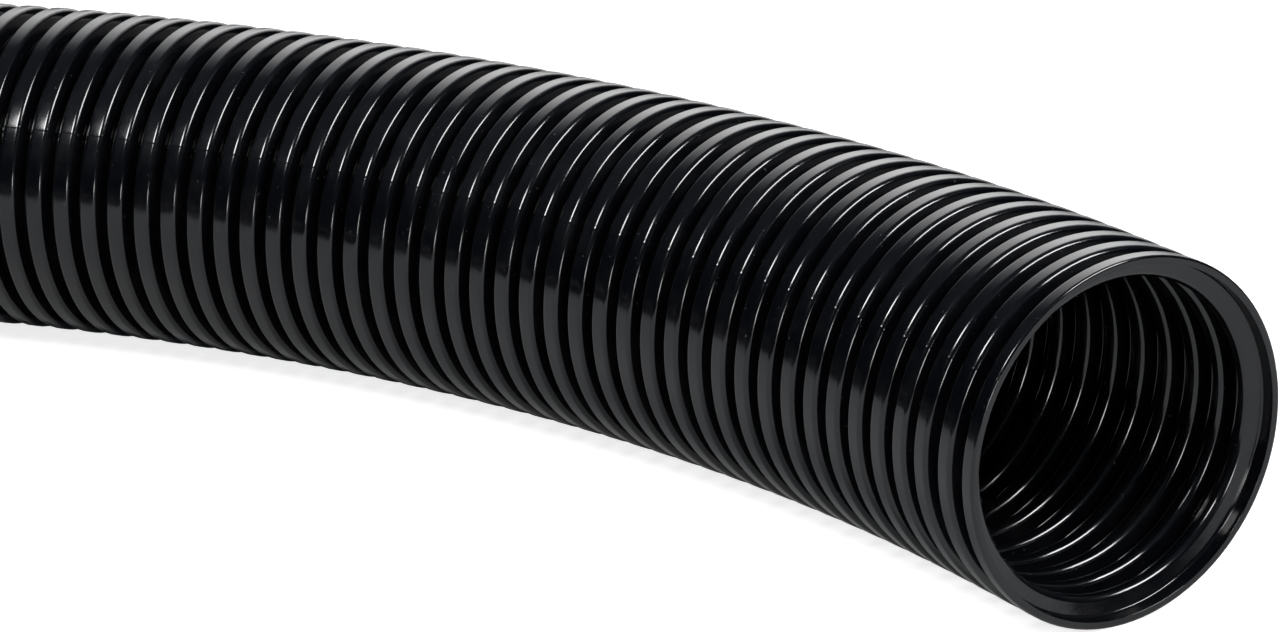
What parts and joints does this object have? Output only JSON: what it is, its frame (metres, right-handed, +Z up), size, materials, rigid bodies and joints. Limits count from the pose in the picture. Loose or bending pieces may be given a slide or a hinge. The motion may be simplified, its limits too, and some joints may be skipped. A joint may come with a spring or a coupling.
{
  "type": "corrugated cable conduit",
  "caption": "Black plastic corrugated conduit, a bent length of stock with parallel rings and two open cut ends, for protecting cables.",
  "frame": {"origin": "middle of the first cut end, on the conduit's middle line", "axes": "+Y points out of the first cut end, +Z is up with the conduit lying on the floor, and the conduit runs towards -Y and bends round to +X"},
  "size_m": [0.6744, 0.3493, 0.0544],
  "materials": {
    "black_polyamide": "moulded gloss black polyamide"
  },
  "bodies": {
    "root": {"conduit": "black_polyamide"}
  },
  "joints": []
}
